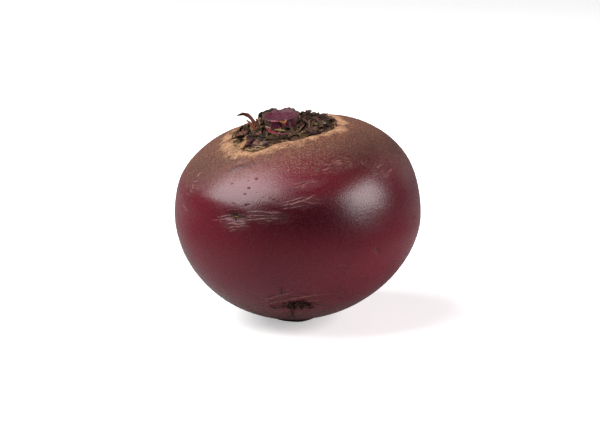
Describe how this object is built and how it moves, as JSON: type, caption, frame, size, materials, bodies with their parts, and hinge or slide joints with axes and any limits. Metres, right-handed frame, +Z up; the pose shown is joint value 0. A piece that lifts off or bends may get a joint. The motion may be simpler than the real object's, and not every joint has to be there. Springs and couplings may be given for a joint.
{
  "type": "beetroot",
  "caption": "Globe-shaped red beetroot with a trimmed stump of leaf stalks and a ring of dried leaf bases on its crown, standing on its cut taproot.",
  "frame": {"origin": "centre of the flat cut end of the taproot, on which the beet stands", "axes": "+Z up out of the flat cut end; -Y faces the pictured side, and the crown leans a little to -X and -Y"},
  "size_m": [0.08, 0.08, 0.0698],
  "materials": {
    "beet_skin": "smooth satin maroon skin, tan and corky at the crown, with fine pale specks and creases",
    "cut_stalk": "dull magenta cut flesh with a dark crusty rim",
    "dried_leaf_base": "matt dry brown scales with straw and crimson edges"
  },
  "bodies": {
    "root": {"root": "beet_skin", "crown_stump": "cut_stalk", "leaf_bases": "dried_leaf_base"}
  },
  "joints": []
}
